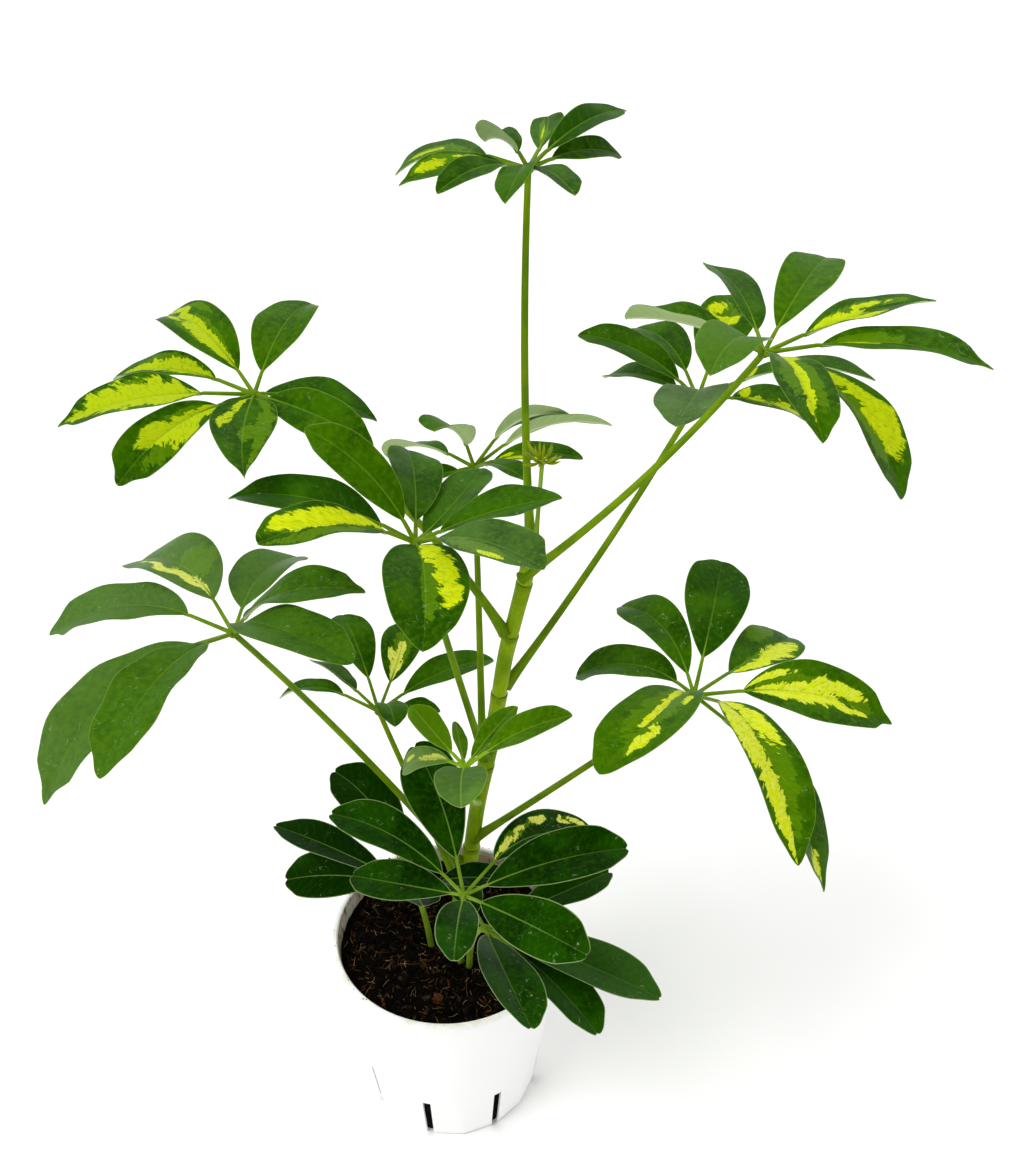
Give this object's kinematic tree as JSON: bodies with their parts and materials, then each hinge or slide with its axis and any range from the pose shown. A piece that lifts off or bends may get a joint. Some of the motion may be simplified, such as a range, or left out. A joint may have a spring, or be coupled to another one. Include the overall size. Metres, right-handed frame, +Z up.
{
  "type": "potted umbrella plant",
  "caption": "Dwarf umbrella plant with yellow-green variegated leaves on long stalks, growing in a tapered nursery pot.",
  "frame": {"origin": "middle of the pot's underside, on the surface that the pot stands on", "axes": "+Z up, +X to the right of the picture's view, +Y away from the viewer"},
  "size_m": [0.3695, 0.2331, 0.5197],
  "materials": {
    "pot_plastic": "satin",
    "potting_soil": "matte",
    "green_stem": "satin",
    "leaf": "gloss",
    "dark_leaf": "gloss",
    "young_leaf": "gloss"
  },
  "bodies": {
    "root": {"pot": "pot_plastic", "soil": "potting_soil", "trunk": "green_stem", "frond_top": "leaf", "frond_upper_left": "leaf", "frond_middle": "leaf", "frond_back": "leaf", "frond_upper_right": "leaf", "frond_right_inner": "leaf", "frond_left": "leaf", "frond_left_inner": "leaf", "frond_right": "leaf", "frond_young": "young_leaf", "frond_low_front": "dark_leaf", "frond_low_right": "dark_leaf", "frond_low_left": "dark_leaf", "shoot_tip": "young_leaf"}
  },
  "joints": []
}
